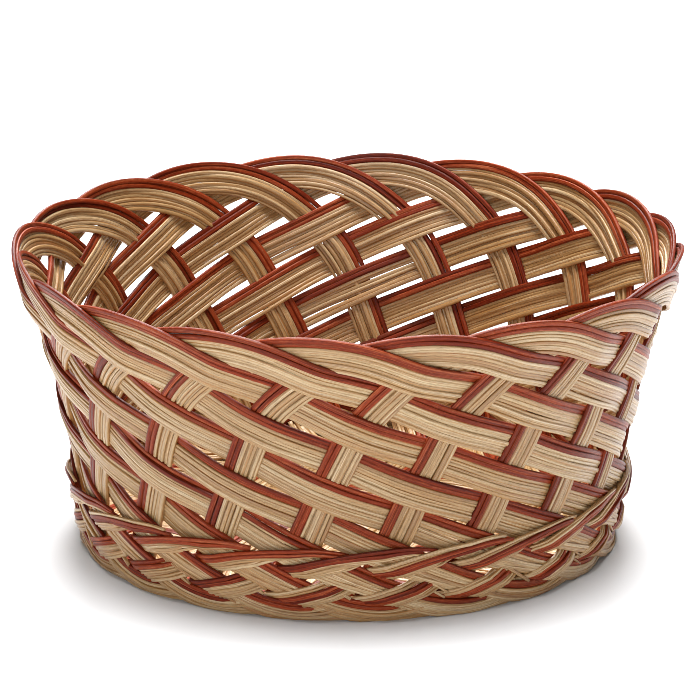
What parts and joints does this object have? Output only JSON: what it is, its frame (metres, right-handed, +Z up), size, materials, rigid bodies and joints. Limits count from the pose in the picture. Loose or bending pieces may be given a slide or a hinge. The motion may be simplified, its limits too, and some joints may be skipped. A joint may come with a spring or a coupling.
{
  "type": "coconut midrib bowl",
  "caption": "Round open-weave bowl of natural and dyed coconut midrib sticks, with flared walls, a scalloped rope-like rim and a braided foot.",
  "frame": {"origin": "on the floor under the middle of the bowl", "axes": "+Z up along the bowl's axis; -Y towards the viewer of the picture, +X to their right"},
  "size_m": [0.253, 0.253, 0.1151],
  "materials": {
    "natural_sticks": "bare straw-coloured midrib, satin, fine lengthways grain",
    "dyed_sticks": "midrib dyed brown-red, satin, worn in places"
  },
  "bodies": {
    "root": {"natural_sticks_01": "natural_sticks", "dyed_sticks_01": "dyed_sticks", "natural_sticks_02": "natural_sticks", "dyed_sticks_02": "dyed_sticks", "natural_sticks_03": "natural_sticks", "dyed_sticks_03": "dyed_sticks", "natural_sticks_04": "natural_sticks", "dyed_sticks_04": "dyed_sticks", "natural_sticks_05": "natural_sticks", "dyed_sticks_05": "dyed_sticks", "natural_sticks_06": "natural_sticks", "dyed_sticks_06": "dyed_sticks", "natural_sticks_07": "natural_sticks", "dyed_sticks_07": "dyed_sticks", "natural_sticks_08": "natural_sticks", "dyed_sticks_08": "dyed_sticks", "natural_sticks_09": "natural_sticks", "dyed_sticks_09": "dyed_sticks", "natural_sticks_10": "natural_sticks", "dyed_sticks_10": "dyed_sticks", "natural_sticks_11": "natural_sticks", "dyed_sticks_11": "dyed_sticks", "natural_sticks_12": "natural_sticks", "dyed_sticks_12": "dyed_sticks", "natural_sticks_13": "natural_sticks", "dyed_sticks_13": "dyed_sticks", "natural_sticks_14": "natural_sticks", "dyed_sticks_14": "dyed_sticks", "natural_sticks_15": "natural_sticks", "dyed_sticks_15": "dyed_sticks", "natural_sticks_16": "natural_sticks", "dyed_sticks_16": "dyed_sticks", "natural_sticks_17": "natural_sticks", "dyed_sticks_17": "dyed_sticks", "natural_sticks_18": "natural_sticks", "dyed_sticks_18": "dyed_sticks", "natural_sticks_19": "natural_sticks", "dyed_sticks_19": "dyed_sticks", "natural_sticks_20": "natural_sticks", "dyed_sticks_20": "dyed_sticks"}
  },
  "joints": []
}
